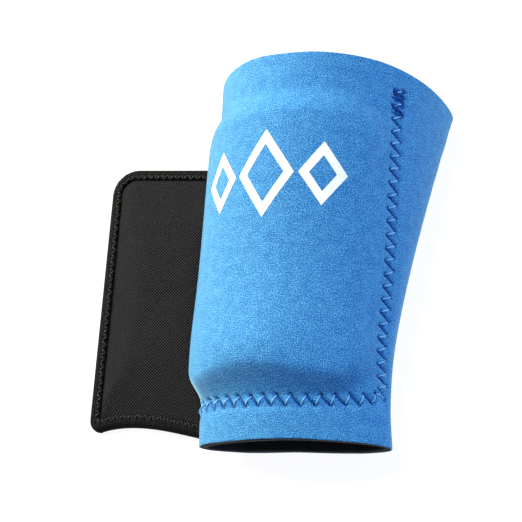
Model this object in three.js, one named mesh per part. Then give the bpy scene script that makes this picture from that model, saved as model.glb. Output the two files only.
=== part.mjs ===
// A wrist guard for ball sports, lying on its back: a tapered tube of foam-backed
// stretch cloth with a padded pocket over the top of the wrist, and beside it the
// loose padded shield with its bound edge. Millimetres, +Z up. The tube runs along
// +Y from the wrist opening to the wider forearm opening, and its pocket faces up.
import * as THREE from "three";

// The sleeve: the tube's length and the outside size of its two openings as it lies
const SLEEVE_LENGTH = 140;
const WRIST_WIDTH = 78.2;
const WRIST_HEIGHT = 28.4;
const FOREARM_WIDTH = 97;
const FOREARM_HEIGHT = 65.2;
const SIDE_SWAY = 2.3; // how far the middle of the tube wanders sideways at the wrist
const FLOOR_PRESS = 1.9; // how much of the round back the floor presses flat

// The laminated wall: blue cloth face, clearance, black foam with its lining
const FACE_THICKNESS = 1.0;
const CORE_THICKNESS = 1.7;
const LAYER_GAP = 0.3;

// The cut of the two open edges, away from square
const FOREARM_CREST = 1.9; // the forearm edge stands further out over the pocket
const FOREARM_PINCH = 1.15; // and draws in at its two sides
const FOREARM_CORNERS = 0.6; // and stays a little fuller between the two
const WRIST_CREST = 1.1;
const WRIST_SLANT = 2.1; // the wrist edge is cut shorter on the seam side

// The pad in its pocket, measured round the wall from the crown of the tube
const POCKET_CENTRE = -5.6; // the pad sits to the left of the crown
const PAD_WRIST_WIDTH = 86;
const PAD_FOREARM_WIDTH = 87.5;
const PAD_START = 19.2; // from the wrist edge
const PAD_LENGTH = 103.2;
const PAD_THICKNESS = 4.7;
const PAD_CORNER = 15;
// Width of the slope where the wall rises over the pad: steep at the pad's wrist edge,
// softer at its forearm edge and softest on the right, where the pad thins to its seam
const FOOT_SHOULDER = 7.5;
const FOOT_SPREAD = 4; // extra width of the foot's slope at its middle
const FOOT_HUMP = 2; // extra height of the pad there
const FOOT_MIDDLE = -8; // where that middle is, round the wall from the crown
const TOP_SHOULDER = 13;
const LEFT_SHOULDER = 10.5;
const RIGHT_SHOULDER = 18;
const SHOULDER_REACH = 5.25; // the slope ends this far outside the pad
const PAD_FOOT_RISE = 5.5; // the pad's wrist edge curves up this much on the right
const POCKET_MARGIN = 6.5; // the pocket reaches this far past the pad, to its seam
const POCKET_SLACK = 1.3; // room round the pad in its pocket
const PANEL_THICKNESS = 1.0;

// The loose shield
const SHIELD_WRIST_WIDTH = 60;
const SHIELD_FOREARM_WIDTH = 66;
const SHIELD_START = 3.8; // from the square wrist end of the sleeve
const SHIELD_LENGTH = 122;
const SHIELD_END_SLOPE = 0.04; // the forearm end falls this much towards the sleeve
const SHIELD_THICKNESS = 6.6;
const SHIELD_CORNERS = [6, 8, 8, 11]; // wrist left, wrist right, forearm right and left
const SHIELD_END_PULL = 3; // how far its wrist edge draws in between the corners
const SHIELD_CLEARANCE = 0.4; // between the shield's edge and the sleeve beside it
const FLANGE_THICKNESS = 2.0;
const BINDING_WALL = 1.0;
const BINDING_COVER = 5.0;
const BINDING_ROUND = 1.0;

// How the section grows from the wrist opening (0) to the forearm opening (1).
// sway is a share of SIDE_SWAY. waist is the height of the widest place as a share of
// the height. crown shapes the top, where 2 is an ellipse and less is more pointed.
const SECTION_TABLE = [
  { along: 0.0, width: 0.0, height: 0.0, sway: 1.0, waist: 0.4, crown: 1.7 },
  { along: 0.12, width: -0.026, height: 0.155, sway: 0.18, waist: 0.395, crown: 1.72 },
  { along: 0.27, width: 0.027, height: 0.329, sway: -0.29, waist: 0.389, crown: 1.77 },
  { along: 0.45, width: 0.163, height: 0.456, sway: 0.0, waist: 0.382, crown: 1.82 },
  { along: 0.73, width: 0.541, height: 0.759, sway: 0.32, waist: 0.26, crown: 1.94 },
  { along: 1.0, width: 1.0, height: 1.0, sway: 0.33, waist: 0.12, crown: 2.06 },
];
const BACK_ROUNDNESS = 2.4;

// The puffed profile of the shield, from its flange to its middle: how far in from the
// binding's inner edge, as a share of the shield's half width, and how full it is there.
const SHIELD_PROFILE = [
  { inward: 0.03, fill: 0.1 },
  { inward: 0.12, fill: 0.62 },
  { inward: 0.3, fill: 0.88 },
  { inward: 0.6, fill: 0.97 },
];

// Faceting
const AROUND = 48; // facets round the tube
const SECTION_STEPS = 288; // fine steps that measure round one section
const BEND_WEIGHT = 9; // millimetres of wall that one radian of bend counts for
const FACING_REACH = 2.5;
const OUTLINE_CORNER_STEPS = 6;
const OUTLINE_SIDE_STEPS = 6;
const PAD_RINGS = [1, 0.93, 0.84, 0.6, 0.3]; // rings of facets, from its edge inwards

const WALL_THICKNESS = FACE_THICKNESS + LAYER_GAP + CORE_THICKNESS;

const smoothstep = (x) => {
  const t = THREE.MathUtils.clamp(x, 0, 1);
  return t * t * (3 - 2 * t);
};

// A smooth curve through one column of the section table
function tableValue(column, along) {
  const rows = SECTION_TABLE;
  const last = rows.length - 1;
  const at = THREE.MathUtils.clamp(along, 0, 1);
  let i = 0;
  while (i < last - 1 && at > rows[i + 1].along) i++;
  const slope = (k) => {
    const before = rows[Math.max(k - 1, 0)];
    const after = rows[Math.min(k + 1, last)];
    return (after[column] - before[column]) / (after.along - before.along);
  };
  const span = rows[i + 1].along - rows[i].along;
  const t = (at - rows[i].along) / span;
  const t2 = t * t;
  const t3 = t2 * t;
  return (
    (2 * t3 - 3 * t2 + 1) * rows[i][column] +
    (t3 - 2 * t2 + t) * span * slope(i) +
    (3 * t2 - 2 * t3) * rows[i + 1][column] +
    (t3 - t2) * span * slope(i + 1)
  );
}

// How far the given place lies outside the pad's own outline: less than 0 inside it
const padWidth = (y) =>
  THREE.MathUtils.mapLinear(
    y, PAD_START, PAD_START + PAD_LENGTH, PAD_WRIST_WIDTH, PAD_FOREARM_WIDTH,
  );
// The rise of the pad's wrist edge at a distance round the wall, fading out along it
function footRise(y, arc) {
  const right = Math.max(0, arc) / (PAD_WRIST_WIDTH / 2);
  const fade = 1 - THREE.MathUtils.clamp((y - PAD_START) / PAD_LENGTH, 0, 1);
  return PAD_FOOT_RISE * right ** 2 * fade;
}
function outsidePad(place, arc) {
  const y = place - footRise(place, arc);
  const across = Math.abs(arc - POCKET_CENTRE) - padWidth(y) / 2 + PAD_CORNER;
  const middle = PAD_START + PAD_LENGTH / 2;
  const lengthways = Math.abs(y - middle) - PAD_LENGTH / 2 + PAD_CORNER;
  const corner = Math.hypot(Math.max(across, 0), Math.max(lengthways, 0));
  return corner + Math.min(Math.max(across, lengthways), 0) - PAD_CORNER;
}
const footMiddle = (arc) => Math.exp(-(((arc - FOOT_MIDDLE) / 24) ** 2));

// The shoulder's width at a place: its side value, blended to the end value near an end
function shoulderWidth(y, arc) {
  const { lerp } = THREE.MathUtils;
  const side = lerp(LEFT_SHOULDER, RIGHT_SHOULDER, smoothstep(arc / 30));
  const fromStart = smoothstep((y - PAD_START) / 30);
  const fromEnd = smoothstep((PAD_START + PAD_LENGTH - y) / 30);
  const foot = FOOT_SHOULDER + FOOT_SPREAD * footMiddle(arc);
  return lerp(foot, lerp(TOP_SHOULDER, side, fromEnd), fromStart);
}
function padLift(y, arc) {
  const hump = FOOT_HUMP * footMiddle(arc) * Math.exp(-(((y - PAD_START - 9) / 10) ** 2));
  const slope = (SHOULDER_REACH - outsidePad(y, arc)) / shoulderWidth(y, arc);
  return (PAD_THICKNESS + hump) * smoothstep(slope);
}

// The outside of the tube at one place along it, before the pad lifts it: points from
// the floor line up over the crown and back, with the distance round the wall from the
// crown, positive towards +X.
function sectionCurve(along) {
  const grow = (from, to, column) => from + (to - from) * tableValue(column, along);
  const halfWidth = grow(WRIST_WIDTH, FOREARM_WIDTH, "width") / 2;
  const height = grow(WRIST_HEIGHT, FOREARM_HEIGHT, "height");
  const middle = SIDE_SWAY * tableValue("sway", along);
  const waist = height * tableValue("waist", along);
  const crown = tableValue("crown", along);
  const points = [];
  for (let k = 0; k <= SECTION_STEPS; k++) {
    const turn = (2 * Math.PI * k) / SECTION_STEPS - Math.PI;
    const side = Math.sin(turn);
    const up = Math.cos(turn);
    const power = 2 / (up >= 0 ? crown : BACK_ROUNDNESS);
    const reach = up >= 0 ? height - waist : -(waist + FLOOR_PRESS);
    points.push({
      turn,
      x: middle + halfWidth * Math.sign(side) * Math.abs(side) ** power,
      z: Math.max(0, waist + reach * Math.abs(up) ** power),
      arc: 0,
      spread: 0,
    });
  }
  for (let k = 1; k < points.length; k++) {
    const a = points[k - 1];
    const b = points[k];
    b.arc = a.arc + Math.hypot(b.x - a.x, b.z - a.z);
  }
  const crownArc = points[SECTION_STEPS / 2].arc;
  const perimeter = points[SECTION_STEPS].arc;
  for (const p of points) p.arc -= crownArc;
  return { points, perimeter };
}

// The place on a section where one of its growing measures reaches a value
function placeBy(points, measure, value) {
  let low = 0;
  let high = points.length - 1;
  while (high - low > 1) {
    const mid = (low + high) >> 1;
    if (points[mid][measure] <= value) low = mid;
    else high = mid;
  }
  const a = points[low];
  const b = points[high];
  const t = THREE.MathUtils.clamp((value - a[measure]) / (b[measure] - a[measure] || 1), 0, 1);
  const between = (name) => THREE.MathUtils.lerp(a[name], b[name], t);
  return { x: between("x"), z: between("z"), turn: between("turn"), arc: between("arc") };
}

// The point at a distance round a section, and the way out of the wall there, taken
// over a few millimetres so that it turns evenly at the floor's edge
function pointOn({ points, perimeter }, arc) {
  const start = points[0].arc;
  const wrapped = (s) => THREE.MathUtils.euclideanModulo(s - start, perimeter) + start;
  const before = placeBy(points, "arc", wrapped(arc - FACING_REACH));
  const after = placeBy(points, "arc", wrapped(arc + FACING_REACH));
  const outward = new THREE.Vector2(before.z - after.z, after.x - before.x).normalize();
  return { ...placeBy(points, "arc", wrapped(arc)), outward };
}

// A section with one more measure, spread. It grows with the distance round the wall as
// the pad lifts it, and with every bend, so even steps of it suit the facets.
const sectionCache = new Map();
function sectionAt(along) {
  if (sectionCache.has(along)) return sectionCache.get(along);
  const section = sectionCurve(along);
  const { points } = section;
  const lifted = points.map((p) => {
    const { outward } = pointOn(section, p.arc);
    const lift = padLift(along * SLEEVE_LENGTH, p.arc);
    return new THREE.Vector2(p.x + outward.x * lift, p.z + outward.y * lift);
  });
  let ahead = new THREE.Vector2(-1, 0);
  for (let k = 1; k < points.length; k++) {
    const step = lifted[k].clone().sub(lifted[k - 1]);
    const bend = step.length() > 0 ? Math.abs(ahead.angleTo(step)) : 0;
    points[k].spread = points[k - 1].spread + step.length() + BEND_WEIGHT * bend;
    if (step.length() > 0) ahead = step;
  }
  sectionCache.set(along, section);
  return section;
}
const sectionPoint = (along, arc) => pointOn(sectionAt(along), arc);

// How far the cut edges leave square at a place round and along the tube
function edgeShift(along, turn) {
  const nearForearm = along ** 3;
  const nearWrist = (1 - along) ** 6;
  return (
    nearForearm *
      (FOREARM_CREST * Math.cos(turn) -
        FOREARM_PINCH * Math.cos(2 * turn) +
        FOREARM_CORNERS * Math.sin(2 * turn) ** 2) -
    nearWrist * (WRIST_CREST * Math.cos(turn) - WRIST_SLANT * Math.sin(turn))
  );
}

// A place in or on the sleeve's wall. inset is the depth below the wall's outside, and
// lifted says whether the place rides over the pad or stays under it.
function sleevePoint(along, arc, inset, lifted) {
  const p = sectionPoint(along, arc);
  const out = (lifted ? padLift(along * SLEEVE_LENGTH, arc) : 0) - inset;
  return new THREE.Vector3(
    p.x + p.outward.x * out,
    along * SLEEVE_LENGTH + edgeShift(along, p.turn),
    p.z + p.outward.y * out,
  );
}

function buildGeometry(vertices, triangles) {
  const geometry = new THREE.BufferGeometry();
  geometry.setAttribute(
    "position",
    new THREE.Float32BufferAttribute(vertices.flatMap((v) => [v.x, v.y, v.z]), 3),
  );
  geometry.setIndex(triangles);
  geometry.computeVertexNormals();
  return geometry;
}

// Two triangles for each cell between two closed loops. mirrored turns each cell's
// diagonal the other way, so that surfaces facing each other across a gap can match.
function stitchLoops(triangles, loopA, loopB, count, mirrored = false) {
  for (let k = 0; k < count; k++) {
    const next = (k + 1) % count;
    if (mirrored) {
      triangles.push(loopA + k, loopA + next, loopB + k);
      triangles.push(loopA + next, loopB + next, loopB + k);
    } else {
      triangles.push(loopA + k, loopA + next, loopB + next);
      triangles.push(loopA + k, loopB + next, loopB + k);
    }
  }
}

// A ring of sections joined in order and back to the first, such as a tube's wall;
// the cells from mirroredFrom on have their diagonals turned
function loopSolid(loops, mirroredFrom = Infinity) {
  const count = loops[0].length;
  const triangles = [];
  loops.forEach((_, k) => {
    const next = ((k + 1) % loops.length) * count;
    stitchLoops(triangles, k * count, next, count, k >= mirroredFrom);
  });
  return buildGeometry(loops.flat(), triangles);
}

// A plate whose top and bottom are rings, from the edge inwards to a middle point
function plateSolid(topRings, topMiddle, bottomRings, bottomMiddle) {
  const rings = [...bottomRings.slice().reverse(), ...topRings];
  const count = rings[0].length;
  const vertices = [...rings.flat(), topMiddle, bottomMiddle];
  const triangles = [];
  for (let k = 0; k + 1 < rings.length; k++) {
    const below = k + 1 < bottomRings.length;
    stitchLoops(triangles, k * count, (k + 1) * count, count, below);
  }
  const topAt = vertices.length - 2;
  const bottomAt = vertices.length - 1;
  const lastRing = (rings.length - 1) * count;
  for (let k = 0; k < count; k++) {
    const next = (k + 1) % count;
    triangles.push(topAt, lastRing + k, lastRing + next);
    triangles.push(bottomAt, next, k);
  }
  return buildGeometry(vertices, triangles);
}

// Where the tube's rings of facets lie: close together over the pad's two shoulders
function ringStations() {
  const steps = [0, 1 / 3, 2 / 3, 1];
  const foot = FOOT_SHOULDER + FOOT_SPREAD;
  const startShoulder = steps.map((t) => PAD_START - SHOULDER_REACH + t * foot);
  const end = PAD_START + PAD_LENGTH + SHOULDER_REACH;
  const endShoulder = steps.map((t) => end - (1 - t) * TOP_SHOULDER);
  const flatRings = 6;
  const flat = Array.from({ length: flatRings }, (_, k) =>
    THREE.MathUtils.lerp(startShoulder[3], endShoulder[0], (k + 1) / (flatRings + 1)),
  );
  const cuff = [0, startShoulder[0] / 2];
  const mouth = [(endShoulder[3] + SLEEVE_LENGTH) / 2, SLEEVE_LENGTH];
  return [...cuff, ...startShoulder, ...flat, ...endShoulder, ...mouth].map(
    (y) => y / SLEEVE_LENGTH,
  );
}

// One layer of the laminated wall, between two depths below its outside
function wallLayer(outerInset, innerInset) {
  const ring = (along, inset) => {
    const { points } = sectionAt(along);
    const whole = points[SECTION_STEPS].spread;
    return Array.from({ length: AROUND }, (_, k) => {
      const { arc } = placeBy(points, "spread", (whole * k) / AROUND);
      return sleevePoint(along, arc, inset, true);
    });
  };
  const stations = ringStations();
  const outside = stations.map((along) => ring(along, outerInset));
  const inside = stations.map((along) => ring(along, innerInset)).reverse();
  return loopSolid([...outside, ...inside], stations.length);
}

// A closed outline with round corners through four corner points, inset by a distance.
// radii gives each corner's radius.
// pull draws the first side in between its corners, most in its first half.
function roundedOutline(corners, radii, inset, pull = 0) {
  const points = [];
  const count = corners.length;
  const unit = (a, b) => b.clone().sub(a).normalize();
  corners.forEach((corner, i) => {
    const radius = radii[i];
    const nextRadius = radii[(i + 1) % count];
    const back = unit(corner, corners[(i + count - 1) % count]);
    const ahead = unit(corner, corners[(i + 1) % count]);
    const half = Math.acos(back.dot(ahead)) / 2;
    const bisector = back.clone().add(ahead).normalize();
    const centre = corner.clone().addScaledVector(bisector, radius / Math.sin(half));
    const sweep = Math.PI - 2 * half;
    const start = Math.atan2(-bisector.y, -bisector.x) - sweep / 2;
    for (let k = 0; k <= OUTLINE_CORNER_STEPS; k++) {
      const angle = start + (sweep * k) / OUTLINE_CORNER_STEPS;
      points.push(
        new THREE.Vector2(Math.cos(angle), Math.sin(angle))
          .multiplyScalar(radius - inset)
          .add(centre),
      );
    }
    const from = points[points.length - 1];
    const nextCorner = corners[(i + 1) % count];
    const nextAhead = unit(nextCorner, corners[(i + 2) % count]);
    const nextHalf = Math.acos(unit(nextCorner, corner).dot(nextAhead)) / 2;
    const to = nextCorner
      .clone()
      .addScaledVector(unit(nextCorner, corner), nextRadius / Math.tan(nextHalf));
    const inwards = new THREE.Vector2(-ahead.y, ahead.x);
    to.addScaledVector(inwards, inset);
    for (let k = 1; k < OUTLINE_SIDE_STEPS; k++) {
      const t = k / OUTLINE_SIDE_STEPS;
      const drawn = i === 0 ? pull * Math.sin(Math.PI * t ** 0.75) : 0;
      points.push(from.clone().lerp(to, t).addScaledVector(inwards, drawn));
    }
  });
  return points;
}

// The pad and the panel that closes its pocket, both inside the wall. Their outlines
// are flat, as distance round the wall and distance along it.
function pocketOutline(margin) {
  const start = PAD_START - margin;
  const end = PAD_START + PAD_LENGTH + margin;
  const corner = (y, sign) =>
    new THREE.Vector2(POCKET_CENTRE + sign * (padWidth(y) / 2 + margin), y);
  const corners = [corner(start, -1), corner(start, 1), corner(end, 1), corner(end, -1)];
  return roundedOutline(corners, Array(4).fill(PAD_CORNER + margin), 0);
}
function pocketPlate(outerRings, topPlace, bottomPlace) {
  const middle = new THREE.Vector2(POCKET_CENTRE, PAD_START + PAD_LENGTH / 2);
  const padEdge = pocketOutline(0);
  const rings = [
    ...outerRings,
    ...PAD_RINGS.map((share) => padEdge.map((p) => middle.clone().lerp(p, share))),
  ];
  const at = (place) => (p) => place((p.y + footRise(p.y, p.x)) / SLEEVE_LENGTH, p.x);
  const ringsOf = (place) => rings.map((ring) => ring.map(at(place)));
  return plateSolid(
    ringsOf(topPlace), at(topPlace)(middle), ringsOf(bottomPlace), at(bottomPlace)(middle),
  );
}
function pocketPad() {
  const depth = WALL_THICKNESS + POCKET_SLACK;
  const top = (along, arc) => sleevePoint(along, arc, depth, true);
  const bottom = (along, arc) => sleevePoint(along, arc, depth, false);
  return pocketPlate([], top, bottom);
}
function pocketPanel() {
  const depth = WALL_THICKNESS + POCKET_SLACK + LAYER_GAP;
  const top = (along, arc) => sleevePoint(along, arc, depth, false);
  const bottom = (along, arc) => sleevePoint(along, arc, depth + PANEL_THICKNESS, false);
  return pocketPlate([pocketOutline(POCKET_MARGIN)], top, bottom);
}

// The shield's height at its bound edge, and the middle of its flange above the floor
const BINDING_HEIGHT = FLANGE_THICKNESS + 2 * (LAYER_GAP + BINDING_WALL);
const FLANGE_LEVEL = BINDING_HEIGHT / 2;

// How far left the sleeve reaches at or below the height of the shield's edge
function leftFlank(y) {
  const along = y / SLEEVE_LENGTH;
  const low = sectionAt(along).points.filter((p) => p.z <= BINDING_HEIGHT);
  return Math.min(...low.map((p) => p.x));
}

// The shield's four corners on the floor: its right side lies along the sleeve's flank
function shieldCorners() {
  const start = SHIELD_START;
  const end = SHIELD_START + SHIELD_LENGTH;
  const startFlank = leftFlank(start);
  const endFlank = leftFlank(end);
  const checks = 12;
  let bulge = 0;
  for (let k = 0; k <= checks; k++) {
    const t = k / checks;
    const straight = THREE.MathUtils.lerp(startFlank, endFlank, t);
    bulge = Math.max(bulge, straight - leftFlank(THREE.MathUtils.lerp(start, end, t)));
  }
  const away = bulge + SHIELD_CLEARANCE;
  const fall = SHIELD_END_SLOPE * SHIELD_FOREARM_WIDTH;
  return [
    new THREE.Vector2(startFlank - away - SHIELD_WRIST_WIDTH, start),
    new THREE.Vector2(startFlank - away, start),
    new THREE.Vector2(endFlank - away, end - fall),
    new THREE.Vector2(endFlank - away - SHIELD_FOREARM_WIDTH, end),
  ];
}
const shieldOutline = (inset) =>
  roundedOutline(shieldCorners(), SHIELD_CORNERS, inset, SHIELD_END_PULL);

function shieldBody() {
  const corners = shieldCorners();
  const middle = corners
    .reduce((sum, c) => sum.add(c), new THREE.Vector2())
    .multiplyScalar(1 / corners.length);
  const halfFlange = FLANGE_THICKNESS / 2;
  const flangeEdge = shieldOutline(BINDING_WALL + LAYER_GAP);
  const flangeRoot = shieldOutline(BINDING_COVER + LAYER_GAP);
  const level = (outline, z) => outline.map((p) => new THREE.Vector3(p.x, p.y, z));
  const rings = (top) => {
    const rim = FLANGE_LEVEL + (top ? halfFlange : -halfFlange);
    const full = top ? SHIELD_THICKNESS : 0;
    const puffed = SHIELD_PROFILE.map(({ inward, fill }) => {
      const share = 1 - inward;
      const ring = flangeRoot.map((p) => middle.clone().lerp(p, share));
      return level(ring, THREE.MathUtils.lerp(rim, full, top ? fill : Math.min(1, 2 * fill)));
    });
    return [level(flangeEdge, rim), level(flangeRoot, rim), ...puffed];
  };
  return plateSolid(
    rings(true),
    new THREE.Vector3(middle.x, middle.y, SHIELD_THICKNESS),
    rings(false),
    new THREE.Vector3(middle.x, middle.y, 0),
  );
}

// The tape folded over the shield's flange: a C-shaped section swept round the outline
function shieldBinding() {
  const slot = FLANGE_THICKNESS / 2 + LAYER_GAP;
  const section = [
    { inset: BINDING_COVER, z: 0 },
    { inset: BINDING_ROUND, z: 0 },
    { inset: 0, z: BINDING_ROUND },
    { inset: 0, z: BINDING_HEIGHT - BINDING_ROUND },
    { inset: BINDING_ROUND, z: BINDING_HEIGHT },
    { inset: BINDING_COVER, z: BINDING_HEIGHT },
    { inset: BINDING_COVER, z: FLANGE_LEVEL + slot },
    { inset: BINDING_WALL, z: FLANGE_LEVEL + slot },
    { inset: BINDING_WALL, z: FLANGE_LEVEL - slot },
    { inset: BINDING_COVER, z: FLANGE_LEVEL - slot },
  ];
  const loops = section.map(({ inset, z }) =>
    shieldOutline(inset).map((p) => new THREE.Vector3(p.x, p.y, z)),
  );
  return loopSolid(loops);
}

const clothMaterial = (color, roughness) =>
  new THREE.MeshStandardMaterial({ color, roughness, metalness: 0 });
const blueCloth = clothMaterial(0x3f8fdd, 0.75);
const blackFoam = clothMaterial(0x141416, 0.85);
const greyFoam = clothMaterial(0x55585c, 0.9);
const blackLining = clothMaterial(0x1c1c1f, 0.85);
const ribCloth = clothMaterial(0x242426, 0.8);
const bindingTape = clothMaterial(0x101012, 0.7);

function namedMesh(name, geometry, material) {
  const mesh = new THREE.Mesh(geometry, material);
  mesh.name = name;
  return mesh;
}

const guard = new THREE.Group();
guard.add(
  namedMesh("sleeve_face", wallLayer(0, FACE_THICKNESS), blueCloth),
  namedMesh("sleeve_core", wallLayer(FACE_THICKNESS + LAYER_GAP, WALL_THICKNESS), blackFoam),
  namedMesh("pocket_pad", pocketPad(), greyFoam),
  namedMesh("pocket_panel", pocketPanel(), blackLining),
  namedMesh("shield_body", shieldBody(), ribCloth),
  namedMesh("shield_binding", shieldBinding(), bindingTape),
);

// The origin is on the floor, under the middle of the whole guard
const bounds = new THREE.Box3().setFromObject(guard);
const middle = bounds.getCenter(new THREE.Vector3());
guard.position.set(-middle.x, -middle.y, -bounds.min.z);

export default guard;
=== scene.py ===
"""A padded wrist guard: the stretch sleeve with its stitched pad pocket, and the loose
padded shield beside it. Lengths here are millimetres until a mesh is made."""

import math

import bpy
import numpy as np
from mathutils import Matrix, Vector


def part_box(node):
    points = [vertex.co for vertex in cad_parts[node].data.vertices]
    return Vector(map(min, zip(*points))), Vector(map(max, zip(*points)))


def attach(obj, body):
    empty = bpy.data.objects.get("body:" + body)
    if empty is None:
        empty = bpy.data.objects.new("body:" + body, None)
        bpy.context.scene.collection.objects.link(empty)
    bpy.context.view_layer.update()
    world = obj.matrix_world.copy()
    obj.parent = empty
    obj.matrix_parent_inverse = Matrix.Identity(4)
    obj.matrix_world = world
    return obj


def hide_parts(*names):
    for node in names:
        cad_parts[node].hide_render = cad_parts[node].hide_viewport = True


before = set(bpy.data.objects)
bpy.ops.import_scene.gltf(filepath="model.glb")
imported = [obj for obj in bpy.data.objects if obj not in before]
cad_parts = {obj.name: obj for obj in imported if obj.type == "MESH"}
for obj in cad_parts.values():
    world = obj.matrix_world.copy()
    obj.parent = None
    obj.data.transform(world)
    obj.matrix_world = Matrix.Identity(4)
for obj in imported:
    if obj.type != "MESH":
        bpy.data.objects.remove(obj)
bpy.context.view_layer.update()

MM = 0.001

# The sleeve's sizes, as in the part
SLEEVE_LENGTH = 140
WRIST_WIDTH = 78.2
WRIST_HEIGHT = 28.4
FOREARM_WIDTH = 97
FOREARM_HEIGHT = 65.2
SIDE_SWAY = 2.3
FLOOR_PRESS = 1.9
BACK_ROUNDNESS = 2.4
FOREARM_CREST = 1.9
FOREARM_PINCH = 1.15
FOREARM_CORNERS = 0.6
WRIST_CREST = 1.1
WRIST_SLANT = 2.1
POCKET_CENTRE = -5.6
PAD_WRIST_WIDTH = 86
PAD_FOREARM_WIDTH = 87.5
PAD_START = 19.2
PAD_LENGTH = 103.2
PAD_THICKNESS = 4.7
PAD_CORNER = 15
FOOT_SHOULDER = 7.5
FOOT_SPREAD = 4
FOOT_HUMP = 2
FOOT_MIDDLE = -8
TOP_SHOULDER = 13
LEFT_SHOULDER = 10.5
RIGHT_SHOULDER = 18
SHOULDER_REACH = 5.25
SHOULDER_BLEND = 30  # over this length one side's shoulder turns into the next one's
FOOT_REACH = 24  # half width of the fuller middle of the pad's foot
HUMP_PLACE = 9
HUMP_REACH = 10
PAD_FOOT_RISE = 5.5
POCKET_MARGIN = 6.5
WALL_THICKNESS = 3.0
KNIT_THICKNESS = 0.45  # the knit alone, over the foam
PANEL_DEPTH = 4.6
PANEL_THICKNESS = 1.0
CUSHION_DEPTH = 4.3

# The shield's sizes, as in the part
SHIELD_WRIST_WIDTH = 60
SHIELD_FOREARM_WIDTH = 66
SHIELD_START = 3.8
SHIELD_LENGTH = 122
SHIELD_END_SLOPE = 0.04
SHIELD_THICKNESS = 6.6
SHIELD_RADII = (6, 8, 8, 11)
SHIELD_END_PULL = 3
SHIELD_CLEARANCE = 0.4
TAPE_HEIGHT = 4.6
TAPE_WALL = 1.0
TAPE_COVER = 5.0
FLANGE_HALF = 0.9  # half the thickness of the cushion's flange, inside the tape
CUSHION_SHOULDER = 6.5
CUSHION_DOME = 0.4  # share of the cushion's height that rises all the way to its middle
CLOTH_CAP = 0.8  # the cloth run moves no point further

# How the section grows from the wrist opening to the forearm opening, a row for each
# section: along, width, height, sway, waist, crown
SECTIONS = np.array([
    (0.00, 0.000, 0.000, 1.00, 0.400, 1.70),
    (0.12, -0.026, 0.155, 0.18, 0.395, 1.72),
    (0.27, 0.027, 0.329, -0.29, 0.389, 1.77),
    (0.45, 0.163, 0.456, 0.00, 0.382, 1.82),
    (0.73, 0.541, 0.759, 0.32, 0.260, 1.94),
    (1.00, 1.000, 1.000, 0.33, 0.120, 2.06),
])
COLUMNS = {"width": 1, "height": 2, "sway": 3, "waist": 4, "crown": 5}

# Thread
THREAD_RADIUS = 0.27
SIDE_STITCH = 4.8  # length of one zigzag along the side seams
FOOT_STITCH = 5.6
STITCH_WIDTH = 4.4
FOOT_STITCH_WIDTH = 3.5
SEAM_TOP = 133
SEAM_MIDDLE = 60  # a place half way along the seam's straight sides
SEAM_CORNER = 4
TAPE_STITCH = 3.4
STRAY_ACROSS = 0.12  # how far needle points typically miss their place
STRAY_ALONG = 0.15
# The two zigzags of a bar tack: start and end from its tip, stitch, width at the tip,
# width at the other end, and phase
TACK_ZIGZAGS = [(0, 11, 2.6, 10.0, 4.8, 0), (0.7, 9, 3.4, 8.5, 4.4, 1)]

# Dents in the cloth round the stitching, as (depth, reach). The puffs between strokes rise.
SEAM_GROOVE = (0.6, 3.0)
NEEDLE_HOLE = (0.6, 0.8)
SUNK_STROKE = (0.9, 0.65)
RAISED_STROKE = (0.15, 0.5)
CLOTH_PUFF = (-0.75, 1.3)
TACK_DENT = (0.7, 0.9)
SEAM_ZONE = 7  # further from the seam the cloth is smooth
TACK_ZONE = 6  # and so it is further than this past the tacks
LINING_DIP = (1.7, 4.2)  # the same for the lining under the whole seam
CREASE_SHADE_FROM = 0.6  # depth of a seam's dent at which painted shade starts to darken the cloth's colour
CREASE_SHADE_SPAN = 0.9
CREASE_SHADE_MOST = 0.9
FOLD_SHADE = 0.38  # the most painted shade on the steep fold at the pad's foot

# Distances between the points of the jersey's mesh
FRONT_REACH = 64.0  # from the crown to where the plain back begins, either way
MESH_STEP = 0.9
SEAM_MESH_STEP = 0.45
SEAM_MESH_REACH = 5
BACK_COLUMNS = 40

rng = np.random.default_rng(7)


def smoothstep(x):
    t = np.clip(x, 0, 1)
    return t * t * (3 - 2 * t)


def section_value(column, along):
    """A smooth curve through one column of the section table."""
    at, value = SECTIONS[:, 0], SECTIONS[:, COLUMNS[column]]
    before = np.maximum(np.arange(len(at)) - 1, 0)
    after = np.minimum(np.arange(len(at)) + 1, len(at) - 1)
    slope = (value[after] - value[before]) / (at[after] - at[before])
    i = np.clip(np.searchsorted(at, along, side="right") - 1, 0, len(at) - 2)
    span = at[i + 1] - at[i]
    t = (along - at[i]) / span
    return (
        (2 * t**3 - 3 * t**2 + 1) * value[i] + (t**3 - 2 * t**2 + t) * span * slope[i]
        + (3 * t**2 - 2 * t**3) * value[i + 1] + (t**3 - t**2) * span * slope[i + 1]
    )


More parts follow.
